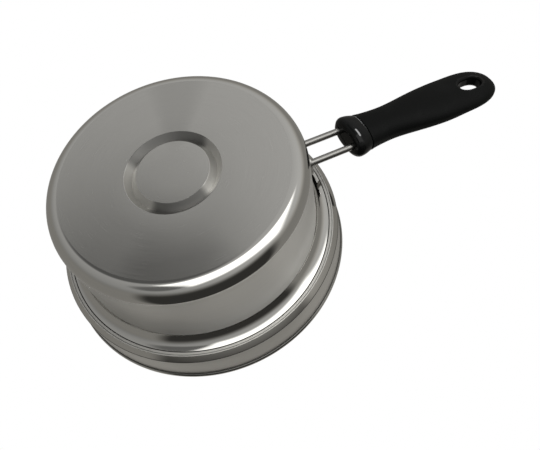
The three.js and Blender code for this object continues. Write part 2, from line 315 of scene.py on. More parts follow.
def apply_modifier(piece, modifier):
    """Apply a modifier and stop the script if it can't be applied."""
    name = modifier.name
    pick(piece)
    bpy.ops.object.modifier_apply(modifier=name)
    if name in piece.modifiers:
        raise RuntimeError(f"{name} was not applied to {piece.name}")


def carve(piece, cutters):
    """Cut shapes out of a piece and delete them."""
    for cutter in cutters:
        modifier = piece.modifiers.new("carve", "BOOLEAN")
        modifier.operation = "DIFFERENCE"
        modifier.solver = "EXACT"
        modifier.object = cutter
        apply_modifier(piece, modifier)
        pick(cutter)
        bpy.ops.object.delete()
    opened(piece)
    bpy.ops.mesh.dissolve_degenerate(threshold=SHORTEST_EDGE)
    close_surface()
    bpy.ops.object.mode_set(mode="OBJECT")


def moved(piece, way):
    """Move a piece's mesh, so that the piece itself stays at the origin."""
    opened(piece)
    bpy.ops.transform.translate(value=way)
    bpy.ops.object.mode_set(mode="OBJECT")


def copied(piece, name):
    """A copy of a piece with a mesh of its own."""
    pick(piece)
    bpy.ops.object.duplicate(linked=False)
    copy = bpy.context.object
    copy.name = name
    copy.data.name = name
    return copy


def pair_of_bars(names, rings, sizes):
    """A round bar along the handle and its copy, side by side at the rods' spacing."""
    left = lofted(names[0], rings, rounding=1.0, corner_steps=BAR_STEPS, axis=0)
    moved(left, (0, sizes.rod_spacing / 2, 0))
    right = copied(left, names[1])
    moved(right, (0, -sizes.rod_spacing, 0))
    return [left, right]


def place_on_handle(piece, sizes):
    """Turn a piece from the handle's own frame to the pot's frame."""
    opened(piece)
    bpy.ops.transform.rotate(value=sizes.rise, orient_axis="Y", center_override=(0, 0, 0))
    bpy.ops.transform.translate(value=(sizes.wall_radius, 0, sizes.height))
    bpy.ops.object.mode_set(mode="OBJECT")


def hand_over(piece, nodes, materials, smooth_degrees=35):
    """Shade a finished piece, give it its materials and tie it to the frame."""
    pick(piece)
    bpy.ops.object.shade_smooth_by_angle(angle=math.radians(smooth_degrees))
    for material in materials:
        piece.data.materials.append(material)
    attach(piece, BODY)
    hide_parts(*nodes)


class Field:
    """A number that varies over a surface. Arithmetic on it adds Math nodes."""

    def __init__(self, finish, socket):
        self.finish = finish
        self.socket = socket

    def math(self, operation, *values):
        inputs = dict(enumerate(values))
        node = self.finish.add("ShaderNodeMath", {"operation": operation}, inputs)
        return Field(self.finish, node.outputs[0])

    def __add__(self, other):
        return self.math("ADD", self, other)

    def __radd__(self, other):
        return self.math("ADD", other, self)

    def __sub__(self, other):
        return self.math("SUBTRACT", self, other)

    def __rsub__(self, other):
        return self.math("SUBTRACT", other, self)

    def __mul__(self, other):
        return self.math("MULTIPLY", self, other)

    def __rmul__(self, other):
        return self.math("MULTIPLY", other, self)

    def __truediv__(self, other):
        return self.math("DIVIDE", self, other)

    def __rtruediv__(self, other):
        return self.math("DIVIDE", other, self)

    def __pow__(self, other):
        return self.math("POWER", self, other)

    def rises(self, low, high):
        """0 below low, 1 above high, and a smooth step between them."""
        inputs = {"Value": self, "From Min": low, "From Max": high}
        node = self.finish.add("ShaderNodeMapRange", {"interpolation_type": "SMOOTHSTEP"}, inputs)
        return Field(self.finish, node.outputs["Result"])

    def between(self, low, high, edge):
        """1 from low to high, with soft ends."""
        return self.rises(low - edge, low + edge) * (1 - self.rises(high - edge, high + edge))


class Finish:
    """Builds a node tree: a material's or the world's."""

    def __init__(self, tree):
        self.tree = tree
        tree.nodes.clear()

    def add(self, kind, settings=None, inputs=None):
        """A node of a type: its settings come first, then the values or links of its sockets."""
        node = self.tree.nodes.new(kind)
        for key, value in (settings or {}).items():
            setattr(node, key, value)
        for key, value in (inputs or {}).items():
            self.feed(node.inputs[key], value)
        return node

    def feed(self, socket, value):
        if isinstance(value, Field):
            self.tree.links.new(value.socket, socket)
        elif isinstance(value, bpy.types.NodeSocket):
            self.tree.links.new(value, socket)
        else:
            socket.default_value = value

    def coordinates(self, kind="Object"):
        """The three coordinates as numbers, and as one vector."""
        vector = self.add("ShaderNodeTexCoord").outputs[kind]
        parts = self.add("ShaderNodeSeparateXYZ", None, {0: vector})
        return [Field(self, socket) for socket in parts.outputs], vector

    def vector(self, x, y, z):
        return self.add("ShaderNodeCombineXYZ", None, {0: x, 1: y, 2: z}).outputs[0]

    def noise(self, vector, scale, detail=2.0, roughness=0.5):
        inputs = {"Vector": vector, "Scale": scale, "Detail": detail, "Roughness": roughness}
        node = self.add("ShaderNodeTexNoise", {"noise_dimensions": "3D"}, inputs)
        return Field(self, node.outputs[0])

    def blend(self, factor, first, second):
        """A colour between two colours."""
        node = self.add("ShaderNodeMix", {"data_type": "RGBA"}, {0: factor})
        for socket, value in ((node.inputs[6], first), (node.inputs[7], second)):
            linked = isinstance(value, bpy.types.NodeSocket)
            self.feed(socket, value if linked else (*value, 1.0))
        return node.outputs[2]

    def bump(self, height, strength, distance):
        inputs = {"Strength": strength, "Distance": distance, "Height": height}
        return self.add("ShaderNodeBump", None, inputs).outputs[0]

    def surface(self, **sockets):
        """The Principled shader, joined to the material's output."""
        names = {key.replace("_", " "): value for key, value in sockets.items()}
        shader = self.add("ShaderNodeBsdfPrincipled", None, names)
        self.add("ShaderNodeOutputMaterial", None, {"Surface": shader.outputs[0]})


def new_material(name):
    """A new material, and the Finish that builds its nodes."""
    material = bpy.data.materials.new(name)
    material.use_nodes = True
    return material, Finish(material.node_tree)


def brush_marks(finish, around, along):
    """Fine and broad brush marks: long round the pot, short across their own width."""
    (x, y, z), vector = finish.coordinates()
    radius = (x * x + y * y) ** 0.5
    turn_x, turn_y = x / radius * around, y / radius * around
    across = (radius + z) * along
    broad_share = 0.16
    fine = finish.noise(finish.vector(turn_x, turn_y, across), 1.0, detail=3.0, roughness=0.6)
    broad = finish.noise(finish.vector(turn_x, turn_y, across * broad_share), 1.0)
    return radius, z, fine, broad, vector


def streaks(finish, along, across, up, long, thin, **grain):
    """Marks that run along the handle: long one way and thin the other two."""
    return finish.noise(finish.vector(along * long, across * thin, up * thin), 1.0, **grain)


def sectors(finish, radius, spans):
    """Parts of a turn about the pot's axis: middle, half width and soft edge of each, in degrees."""
    (x, y, _), _ = finish.coordinates()
    found = 0
    for span in spans:
        middle, half, edge = (math.radians(degrees) for degrees in span)
        towards = (x * math.cos(middle) + y * math.sin(middle)) / radius
        found = found + towards.rises(math.cos(half + edge), math.cos(half - edge))
    return found


def shell_places(sizes):
    """Radii and heights at which the parts of the shell meet, and the ledge's second turned line."""
    wall = sizes.base_flat_radius + sizes.base_corner
    ledge_inner = wall + sizes.shoulder
    ledge_height = sizes.wall_top + sizes.shoulder
    band_foot = ledge_height + sizes.step
    return SimpleNamespace(
        wall=wall, ledge_inner=ledge_inner, ledge_outer=ledge_inner + sizes.ledge,
        second_line=ledge_inner + sizes.ledge * 0.7, ledge_height=ledge_height,
        band_foot=band_foot, curl_foot=band_foot + sizes.band)


def turned_line_painted_shade(sizes, radius, z):
    """Painted shade in the turned lines: above the wall, on the ledge, under the band and the curl."""
    soft = 0.00008
    line = sizes.line
    at = shell_places(sizes)

    def level(height, below, above):
        return z.between(height - below * line, height + above * line, soft)

    first = radius.between(at.ledge_inner, at.ledge_inner + 1.2 * line, soft)
    second = radius.between(at.second_line - 0.4 * line, at.second_line + 0.4 * line, soft)
    painted_crease_shade = level(at.ledge_height, 1.0, 2.0) * (first + 0.7 * second)
    painted_crease_shade = painted_crease_shade + 0.85 * level(at.band_foot, 0.5, 0.3) + 0.8 * level(at.curl_foot, 0.5, 0.3)
    return painted_crease_shade + 0.5 * level(sizes.wall_top, 0.2, 0.5)


def pot_outside_steel(sizes, looks):
    """Brushed base, polished corner, satin wall, polished shoulder and step, satin band, polished curl."""
    material, finish = new_material("pot_steel_outside")
    radius, z, fine, broad, vector = brush_marks(finish, around=2.2, along=5200.0)
    cloud = finish.noise(vector, 38.0, detail=3.0, roughness=0.55)
    at = shell_places(sizes)
    soft, softer = 0.0001, 0.00012
    corner_top = sizes.base_corner + 0.0003
    base = 1 - radius.rises(sizes.base_flat_radius - softer, sizes.base_flat_radius + softer)
    wall = z.between(corner_top, sizes.wall_top, softer)
    band = z.between(at.band_foot, at.curl_foot, softer)
    groove = radius.between(sizes.groove_radius - sizes.groove_half,
                            sizes.groove_radius + sizes.groove_half, soft) * base
    base = base - groove
    satin = base + wall + band
    ledge = radius.between(at.ledge_inner, at.ledge_outer, softer)
    ledge = ledge * z.between(at.ledge_height - sizes.sheet, at.ledge_height + sizes.sheet, softer)

    # Painted shade: dark arcs in the ring groove, and a lighter coat of it over the rest of the groove
    arcs = sectors(finish, radius, GROOVE_ARCS)
    # Painted shade: two darker sectors of the brushed base that stand in for its sheen
    near = sectors(finish, radius, NEAR_SHADE) * radius.rises(*NEAR_SHADE_RADII)
    far = sectors(finish, radius, FAR_SHADE) * radius.rises(*FAR_SHADE_RADII)
    painted_shade = groove * (looks.painted_groove_shade + (1 - looks.painted_groove_shade) * arcs)
    painted_shade = painted_shade + base * (looks.near_shade * near + looks.far_shade * far)
    from_groove = ((radius - sizes.groove_radius) ** 2) ** 0.5
    lip_inner, lip_outer = sizes.groove_half - 0.0003, sizes.groove_half + 0.0001
    # Painted shade in the turned lines, and along the ring groove's lips within its painted arcs
    painted_crease_shade = turned_line_painted_shade(sizes, radius, z)
    painted_crease_shade = painted_crease_shade + 0.4 * from_groove.between(lip_inner, lip_outer, soft) * arcs

    rough = (base * looks.base_rough + wall * looks.wall_rough + band * looks.band_rough
             + (1 - satin) * looks.polish_rough)
    rough = rough + groove * 0.3 + ledge * 0.35 + painted_crease_shade * 0.3
    rough = rough + satin * (fine - 0.5) * 0.16 + (cloud - 0.5) * 0.035
    mark = satin * (fine * 0.55 + broad * 0.3) + cloud * 0.25 - base * 0.2
    tint = finish.blend(mark, looks.steel, looks.steel_dull)
    # Darken the steel by the painted shade of the groove and of the base's sectors
    tint = finish.blend(painted_shade, tint, looks.dull_steel_and_painted_shade)
    tint = finish.blend(painted_crease_shade, tint, looks.painted_crease_shade)
    height = satin * (fine + broad * 0.6) + cloud * 0.04
    scatter_start = 0.026
    climb = z.rises(scatter_start, sizes.wall_top)
    scatter = wall * (looks.scatter_foot + (looks.scatter_top - looks.scatter_foot) * climb)
    finish.surface(Base_Color=tint, Metallic=1 - scatter, Roughness=rough,
                   Normal=finish.bump(height, strength=0.5, distance=0.00001))
    return material


def pot_inside_steel(looks):
    """Satin inside with faint turning marks."""
    material, finish = new_material("pot_steel_inside")
    _, _, fine, broad, vector = brush_marks(finish, around=2.0, along=3600.0)
    cloud = finish.noise(vector, 30.0, detail=3.0)
    rough = looks.inside_rough + (fine - 0.5) * 0.16 + (cloud - 0.5) * 0.05
    tint = finish.blend(fine * 0.6 + cloud * 0.3, looks.steel, looks.steel_dull)
    finish.surface(Base_Color=tint, Metallic=0.82, Roughness=rough,
                   Normal=finish.bump(fine + broad * 0.5, strength=0.4, distance=0.00001))
    return material


def bracket_steel(looks):
    """Satin plate, brushed round the wall, with a slight stain of heat."""
    material, finish = new_material("bracket_steel")
    _, _, fine, _, vector = brush_marks(finish, around=3.0, along=4200.0)
    stain = finish.noise(vector, 160.0, detail=3.0, roughness=0.6)
    tint = finish.blend(fine * 0.4 + stain * 0.5, looks.steel_dull, looks.dull_steel_and_painted_shade)
    rough = looks.bracket_rough + (fine - 0.5) * 0.2 + (stain - 0.5) * 0.08
    finish.surface(Base_Color=tint, Metallic=1.0, Roughness=rough,
                   Normal=finish.bump(fine, strength=0.4, distance=0.00001))
    return material


def rod_drawn_steel(sizes, looks):
    """Bright drawn rod: fine marks along the handle, duller at the weld."""
    material, finish = new_material("rod_steel")
    (x, y, z), vector = finish.coordinates()
    up = z - (x - sizes.wall_radius) * math.tan(sizes.rise)
    drawn = streaks(finish, x, y, up, long=60.0, thin=5200.0, detail=3.0, roughness=0.6)
    grain = finish.noise(vector, 900.0)
    weld_end, bright_start = sizes.wall_radius + 0.0026, sizes.wall_radius + 0.0046
    weld = 1 - x.rises(weld_end, bright_start)
    tint = finish.blend(drawn * 0.2 + weld * 0.8, looks.rod_steel, looks.dull_steel_and_painted_shade)
    rough = looks.rod_rough + (drawn - 0.5) * 0.1 + weld * 0.22
    height = drawn * 0.6 + weld * grain * 2.0
    finish.surface(Base_Color=tint, Metallic=1.0, Roughness=rough,
                   Normal=finish.bump(height, strength=0.4, distance=0.00001))
    return material


def collar_resin(sizes, looks):
    """Glossy moulded resin: a faint orange-peel skin, fine rub marks and a painted highlight along the rear
    edge.
    """
    material, finish = new_material("collar_resin")
    (x, y, z), vector = finish.coordinates()
    skin = finish.noise(vector, 420.0)
    rub = streaks(finish, x, y, z, long=300.0, thin=2600.0, roughness=0.6)
    along = (x - sizes.wall_radius) * math.cos(sizes.rise) + (z - sizes.height) * math.sin(sizes.rise)
    rear = sizes.collar_end - sizes.seam_edge
    # Painted highlight: a light line along the collar's rear edge, broken by the rub marks, on the right
    # side only
    highlight_half, highlight_soft, middle_soft = 0.0003, 0.0001, 0.008
    right_side = 1 - y.rises(-middle_soft, middle_soft)
    wear_and_seam_highlight = along.between(rear - highlight_half, rear + highlight_half, highlight_soft) * (0.4 + rub) * right_side
    tint = finish.blend(skin, looks.collar_black, looks.grip_worn)
    tint = finish.blend(wear_and_seam_highlight, tint, looks.painted_seam_highlight)
    rough = looks.collar_rough + (skin - 0.5) * 0.05 + rub.rises(0.58, 0.75) * 0.08
    finish.surface(Base_Color=tint, Roughness=rough, IOR=1.5, Specular_IOR_Level=0.16,
                   Normal=finish.bump(skin, strength=0.1, distance=0.00003))
    return material


def grip_resin(looks):
    """Matt moulded resin: fine spark grain, with soft lighter wear."""
    material, finish = new_material("grip_resin")
    _, vector = finish.coordinates()
    grain = finish.noise(vector, 2600.0, detail=3.0, roughness=0.6)
    wear = finish.noise(vector, 60.0, detail=3.0, roughness=0.55)
    wear_and_seam_highlight = grain * 0.5 + wear.rises(0.45, 0.75) * 0.5
    tint = finish.blend(wear_and_seam_highlight, looks.grip_black, looks.grip_worn)
    rough = looks.grip_rough + (grain - 0.5) * 0.14 - wear.rises(0.5, 0.8) * 0.07
    finish.surface(Base_Color=tint, Roughness=rough, IOR=1.5, Specular_IOR_Level=0.1,
                   Normal=finish.bump(grain, strength=0.5, distance=0.00003))
    return material


def sweep(start, end, steps):
    """Even steps from start to end, both included."""
    return [start + (end - start) * step / steps for step in range(steps + 1)]


def arc(radius, height, size, start, end, steps):
    """Points of a profile's arc between two angles about its centre."""
    return [(radius + size * math.cos(angle), height + size * math.sin(angle))
            for angle in sweep(start, end, steps)]


def thickened(outer, thickness):
    """The outer profile moved to the inside of the sheet, with its mitres held short."""
    inner = []
    last = len(outer) - 1
    mitre_limit = 0.7
    for place, point in enumerate(outer):
        here = Vector(point)
        before = Vector(outer[max(place - 1, 0)])
        after = Vector(outer[min(place + 1, last)])
        arriving = (here - before).normalized() if place else (after - here).normalized()
        leaving = (after - here).normalized() if place < last else arriving
        along = (arriving + leaving).normalized()
        inward = Vector((-along.y, along.x))
        lean = max(inward.dot(Vector((-leaving.y, leaving.x))), mitre_limit)
        inside = here + inward * (thickness / lean)
        inner.append((max(inside.x, 0.0), inside.y))
    return inner


def groove_lip(sizes, start, outwards):
    """One lip of the ring groove, rounded from the flat base to the slope of the groove's wall."""
    size = sizes.groove_lip
    rise = sizes.groove_depth - size
    tangent = math.asin(size / math.hypot(sizes.groove_half, rise))
    slope = math.atan2(rise, sizes.groove_half) + tangent
    return [(start + outwards * size * math.sin(angle), size * (1 - math.cos(angle)))
            for angle in sweep(0, slope, sizes.arc_steps)]


def sheet_profile(sizes):
    """Middle of the base to the foot of the curl, without the fine turned lines."""
    steps = sizes.arc_steps
    at = shell_places(sizes)
    inner_lip = sizes.groove_radius - sizes.groove_half
    outer_lip = sizes.groove_radius + sizes.groove_half
    hollow = sizes.shoulder / (math.sin(sizes.shoulder_foot) - math.sin(sizes.shoulder_lip))
    hollow_radius = at.wall + hollow * math.sin(sizes.shoulder_foot)
    hollow_height = sizes.wall_top - hollow * math.cos(sizes.shoulder_foot)
    band_radius = at.ledge_outer + sizes.step
    edge = sizes.step_edge
    edge_height = at.band_foot + edge * math.tan(QUARTER / 4)
    profile = [(0.0, 0.0), (inner_lip * 0.5, 0.0)]
    profile += groove_lip(sizes, inner_lip, 1)
    profile += [(sizes.groove_radius, sizes.groove_depth)]
    profile += groove_lip(sizes, outer_lip, -1)[::-1]
    profile += [(outer_lip + out, 0.0) for out in (0.012, 0.025)]
    profile += arc(sizes.base_flat_radius, sizes.base_corner, sizes.base_corner, -QUARTER, 0, 2 * steps)
    profile += [(at.wall, sizes.wall_top * part) for part in (0.35, 0.6, 0.8, 0.97)]
    profile += arc(hollow_radius, hollow_height, hollow, QUARTER + sizes.shoulder_foot,
                   QUARTER + sizes.shoulder_lip, steps)
    profile += [(at.ledge_outer, at.ledge_height)]
    profile += arc(band_radius - edge, edge_height, edge, -QUARTER / 2, 0, 5)
    profile += [(band_radius + sizes.flare * part, at.band_foot + sizes.band * part) for part in (0.5, 1)]
    return profile


def with_turned_lines(profile, lines):
    """Cut fine V lines into a profile. Each line is (radius, height, half width, depth)."""
    out = []
    for before, after in zip(profile, profile[1:]):
        out.append(before)
        start, end = Vector(before), Vector(after)
        way = end - start
        along = way.normalized()
        inward = Vector((-along.y, along.x))
        for radius, height, half, depth in lines:
            place = (Vector((radius, height)) - start).dot(along)
            off = abs((Vector((radius, height)) - start).dot(inward))
            if off < SAME_POINT and half < place < way.length - half:
                for shift, sink in ((-half, 0.0), (0.0, depth), (half, 0.0)):
                    point = start + along * (place + shift) + inward * sink
                    out.append((point.x, point.y))
    out.append(profile[-1])
    return out


def curl_profile(sizes, band_top, curl_foot):
    """The rolled rim: out from its tucked edge, over the top and down to the inner face."""
    half, rise = sizes.curl_width / 2, sizes.curl_height / 2
    middle = band_top - sizes.sheet + half
    tucked_edge = math.radians(-128)
    return [(middle + half * math.cos(angle), curl_foot + rise + rise * math.sin(angle))
            for angle in sweep(tucked_edge, math.pi, 26)]


class RAMENPOT_OT_body(bpy.types.Operator):
    """Spin the drawn shell with its groove, corner, shoulder, step, band and curled rim"""
    bl_idname = "ramen_pot.body"
    bl_label = "Pot body"

    def execute(self, context):
        sizes = context.scene.ramen_pot_body
        looks = context.scene.ramen_pot_finishes
        at = shell_places(sizes)
        half = sizes.line / 2
        lines = [
            (at.ledge_inner + half * 1.3, at.ledge_height, half * 1.2, half * 0.6),
            (at.second_line, at.ledge_height, half * 0.9, half * 0.4),
        ]
        sheet = sheet_profile(sizes)
        profile = with_turned_lines(sheet, lines) + curl_profile(sizes, *sheet[-1])
        profile += thickened(sheet, sizes.sheet)[::-1]
        piece = spun("pot_body_shell", profile, sizes.segments)
        materials = [pot_outside_steel(sizes, looks), pot_inside_steel(looks)]
        hand_over(piece, ["pot_body"], materials, smooth_degrees=14)
        self.part_inside(piece, sizes)
        return {"FINISHED"}

    def part_inside(self, piece, sizes):
        """Give the inside its own steel: faces that look up more than they look out."""
        for face in piece.data.polygons:
            outwards = Vector((face.center.x, face.center.y, 0))
            beyond_base = outwards.length > sizes.base_flat_radius
            lean = outwards.normalized().dot(face.normal) if beyond_base else 0.0
            if face.normal.z > lean:
                face.material_index = 1


class RAMENPOT_OT_bracket(bpy.types.Operator):
    """Round a plate's corners, ease its edges and bend it round the wall"""
    bl_idname = "ramen_pot.bracket"
    bl_label = "Handle bracket"

    def execute(self, context):
        sizes = context.scene.ramen_pot_handle
        looks = context.scene.ramen_pot_finishes
        middle = sizes.wall_radius + sizes.plate_gap + sizes.plate / 2
        clear_selection()
        bpy.ops.mesh.primitive_cube_add(size=1)
        piece = named("handle_bracket_plate")
        bpy.ops.transform.resize(value=(sizes.plate_width, sizes.plate, sizes.plate_height),
                                 center_override=(0, 0, 0))
        bpy.ops.mesh.select_all(action="DESELECT")
        bpy.ops.object.mode_set(mode="OBJECT")
        points = piece.data.vertices
        for edge in piece.data.edges:
            way = points[edge.vertices[0]].co - points[edge.vertices[1]].co
            edge.select = abs(way.y) > sizes.plate / 2
        bpy.ops.object.mode_set(mode="EDIT")
        bpy.ops.mesh.select_mode(type="EDGE")
        bpy.ops.mesh.bevel(offset=sizes.plate_corner, segments=10, profile=0.5)
        bpy.ops.mesh.select_all(action="SELECT")
        eased = sizes.plate * 0.28
        bpy.ops.mesh.bevel(offset=eased, segments=3, profile=0.5, clamp_overlap=True)
        cuts = 28
        for cut in range(1, cuts):
            bpy.ops.mesh.select_all(action="SELECT")
            bpy.ops.mesh.bisect(plane_co=(sizes.plate_width * (cut / cuts - 0.5), 0, 0), plane_no=(1, 0, 0))
        close_surface()
        bpy.ops.mesh.select_mode(type="VERT")
        bpy.ops.object.mode_set(mode="OBJECT")
        bend = piece.modifiers.new("bend", "SIMPLE_DEFORM")
        bend.deform_method = "BEND"
        bend.deform_axis = "Z"
        bend.angle = sizes.plate_width / middle
        apply_modifier(piece, bend)
        opened(piece)
        bpy.ops.transform.translate(value=(0, -middle, sizes.height))
        bpy.ops.transform.rotate(value=-QUARTER, orient_axis="Z", center_override=(0, 0, 0))
        bpy.ops.object.mode_set(mode="OBJECT")
        hand_over(piece, ["handle_bracket"], [bracket_steel(looks)])
        return {"FINISHED"}


class RAMENPOT_OT_rods(bpy.types.Operator):
    """Extrude one rod out of its weld, copy it and place both on the handle"""
    bl_idname = "ramen_pot.rods"
    bl_label = "Handle rods"

    def execute(self, context):
        sizes = context.scene.ramen_pot_handle
        looks = context.scene.ramen_pot_finishes
        radius = sizes.rod / 2
        rings = []
        for angle in sweep(0, QUARTER, 8):
            flared = radius + sizes.weld * (1 - math.sin(angle))
            rings.append((sizes.rod_start + sizes.weld * (1 - math.cos(angle)), flared, flared))
        bevel = radius * 0.3
        bare_start, bare_end = rings[-1][0], sizes.rod_end - bevel
        rings += [(place, radius, radius) for place in sweep(bare_start, bare_end, 12)[1:]]
        rings.append((sizes.rod_end, radius - bevel, radius - bevel))
        material = rod_drawn_steel(sizes, looks)
        rods = pair_of_bars(("handle_rod_left_drawn", "handle_rod_right_drawn"), rings, sizes)
        for piece, node in zip(rods, ("handle_rod_left", "handle_rod_right")):
            place_on_handle(piece, sizes)
            hand_over(piece, [node], [material])
        return {"FINISHED"}


def rod_bores(sizes, start):
    """Round cutters along the rods, flared where they leave the face at start."""
    radius = sizes.rod / 2 + sizes.bore_gap
    flared = radius + BORE_MOUTH + BORE_LEAD
    rings = [
        (start - BORE_LEAD, flared, flared),
        (start + BORE_MOUTH, radius, radius),
        (sizes.rod_end + sizes.bore_gap, radius, radius),
    ]
    return pair_of_bars(("bore_left", "bore_right"), rings, sizes)


class RAMENPOT_OT_collar(bpy.types.Operator):
    """Extrude the glossy collar with its rounded front edge and bore it for the rods"""
    bl_idname = "ramen_pot.collar"
    bl_label = "Grip collar"

    def execute(self, context):
        sizes = context.scene.ramen_pot_handle
        looks = context.scene.ramen_pot_finishes
        half_width, half_thickness = sizes.collar_width / 2, sizes.collar_thickness / 2
        narrowing = (sizes.collar_width - sizes.seam_width) / 2
        thinning = (sizes.collar_thickness - sizes.seam_thickness) / 2
        steps = 12
        angles = sweep(0, QUARTER, steps)
        rings = []
        for angle in angles:
            inset = sizes.collar_edge * (1 - math.sin(angle))
            place = sizes.collar_start + sizes.collar_edge * (1 - math.cos(angle))
            rings.append((place, half_width - inset, half_thickness - inset))
        places = sweep(rings[-1][0], sizes.collar_end - sizes.seam_edge, steps)
        for place, angle in zip(places[1:], angles[1:]):
            fall = 1 - math.cos(angle)
            rings.append((place, half_width - narrowing * fall, half_thickness - thinning * fall))
        inset = sizes.seam_edge
        rings.append((sizes.collar_end, sizes.seam_width / 2 - inset, sizes.seam_thickness / 2 - inset))
        piece = lofted("grip_collar_gloss", rings, sizes.rounding, sizes.section_steps, axis=0)
        carve(piece, rod_bores(sizes, sizes.collar_start))
        place_on_handle(piece, sizes)
        hand_over(piece, ["grip_collar"], [collar_resin(sizes, looks)])
        return {"FINISHED"}


def bezier(points, steps):
    """Points of a cubic curve through four control points, without its first point."""
    first, lead, trail, last = (Vector(point) for point in points)
    out = []
    for t in sweep(0, 1, steps)[1:]:
        s = 1 - t
        out.append(first * s ** 3 + lead * (3 * s * s * t) + trail * (3 * s * t * t) + last * t ** 3)
    return out


def rounded_tip(left, size):
    """Share of the full half thickness that is left this far from the tip."""
    least = 0.02
    into = max(size - left, 0.0) / size
    return math.sqrt(max(1 - into * into, least * least))


def grip_length(sizes):
    """Length of the grip from its seam to its tip."""
    return sizes.neck + sizes.swell + sizes.flat + sizes.end


def grip_outline(sizes):
    """Half the grip's plan: in from the seam to the neck, out to the widest place, round at the tip."""
    front, neck, widest = sizes.seam_width / 2, sizes.neck_width / 2, sizes.grip_width / 2
    start, lead = sizes.seam_edge, sizes.neck / 3
    wide = sizes.neck + sizes.swell
    outline = [Vector((start, front))]
    outline += bezier([(start, front), (lead / 2, (front + neck) / 2),
                       (sizes.neck - lead, neck), (sizes.neck, neck)], 16)
    outline += bezier([(sizes.neck, neck), (sizes.neck + sizes.swell / 4, neck),
                       (sizes.neck + sizes.swell / 2, widest), (wide, widest)], 22)
    bluntness = 2 / 2.25
    for angle in sweep(0, QUARTER, 30)[1:-1]:
        outline.append(Vector((wide + sizes.flat + sizes.end * math.sin(angle) ** bluntness,
                               widest * math.cos(angle) ** bluntness)))
    return outline


def grip_rings(sizes):
    """Rings of the grip by its plan and its belly, and the share of each that its top rises to."""
    total = grip_length(sizes)
    front, half = sizes.seam_width / 2, sizes.seam_thickness / 2
    hole = total - sizes.hole_from_tip
    fall_start = sizes.neck + sizes.swell - sizes.fall
    inset = sizes.seam_edge
    eased = inset * 0.3
    rings = [(sizes.grip_start, front - inset, half - inset),
             (sizes.grip_start + eased, front - eased, half - eased)]
    shares = []
    for point in grip_outline(sizes):
        below = half + (sizes.end_below - half) * min(point.x / hole, 1.0)
        above = half + (sizes.top - half) * min(point.x / fall_start, 1.0)
        fall = min(max((point.x - fall_start) / (hole - fall_start), 0.0), 1.0)
        above += (sizes.end_above - sizes.top) * fall * fall * (3 - 2 * fall)
        below *= rounded_tip(total - point.x, sizes.tip_below)
        above *= rounded_tip(total - point.x, sizes.tip_above)
        rings.append((sizes.grip_start + point.x, point.y, below))
        shares.append((sizes.grip_start + point.x, above / below))
    return rings, shares


def squash_top(piece, shares):
    """Lower the upper half of each ring by its share, so that the belly stays deeper than the top."""
    opened(piece)
    mesh = bmesh.from_edit_mesh(piece.data)
    for place, part in shares:
        for point in mesh.verts:
            point.select_set(abs(point.co.x - place) < SAME_POINT and point.co.z > SAME_POINT)
        mesh.select_flush_mode()
        bpy.ops.transform.resize(value=(1, 1, part), center_override=(0, 0, 0))
    bpy.ops.object.mode_set(mode="OBJECT")


class RAMENPOT_OT_grip(bpy.types.Operator):
    """Extrude the matt grip from ring to ring, pierce its hang hole and bore it for the rods"""
    bl_idname = "ramen_pot.grip"
    bl_label = "Grip"

    def execute(self, context):
        sizes = context.scene.ramen_pot_handle
        looks = context.scene.ramen_pot_finishes
        rings, shares = grip_rings(sizes)
        piece = lofted("grip_matt", rings, sizes.rounding, sizes.section_steps, axis=0)
        squash_top(piece, shares)
        carve(piece, [self.hang_hole(sizes)] + rod_bores(sizes, sizes.grip_start))
        place_on_handle(piece, sizes)
        materials = [grip_resin(looks), collar_resin(sizes, looks)]
        hand_over(piece, ["grip"], materials, smooth_degrees=40)
        self.gloss_hole(piece, sizes)
        return {"FINISHED"}

    def hole_place(self, sizes):
        """Where the hang hole's middle lies along the handle."""
        return sizes.grip_start + grip_length(sizes) - sizes.hole_from_tip

    def gloss_hole(self, piece, sizes):
        """Give the hang hole's wall and lips the glossy resin."""
        edge = max(sizes.hole_lower_edge, sizes.hole_upper_edge)
        half_length, half_width = sizes.hole_length / 2 + edge, sizes.hole_width / 2 + edge
        middle = self.hole_place(sizes)
        for face in piece.data.polygons:
            out, up = face.center.x - sizes.wall_radius, face.center.z - sizes.height
            along = out * math.cos(sizes.rise) + up * math.sin(sizes.rise) - middle
            if math.hypot(along / half_length, face.center.y / half_width) < 1.0:
                face.material_index = 1

    def hang_hole(self, sizes):
        """Oval cutter, flared by a quarter round at the belly and at the top."""
        half_length, half_width = sizes.hole_length / 2, sizes.hole_width / 2
        below, above = sizes.hole_lower_edge, sizes.hole_upper_edge
        lower = [(-sizes.end_below - below, below)]
        upper = [(sizes.end_above + above, above)]
        for angle in sweep(0, QUARTER, 10):
            sink, growth = 1 - math.cos(angle), 1 - math.sin(angle)
            lower.append((-sizes.end_below + below * sink, below * growth))
            upper.append((sizes.end_above - above * sink, above * growth))
        rings = [(height, half_length + growth, half_width + growth)
                 for height, growth in lower + upper[::-1]]
        cutter = lofted("hang_hole", rings, sizes.rounding, sizes.section_steps, axis=2)
        moved(cutter, (self.hole_place(sizes), 0, 0))
        return cutter


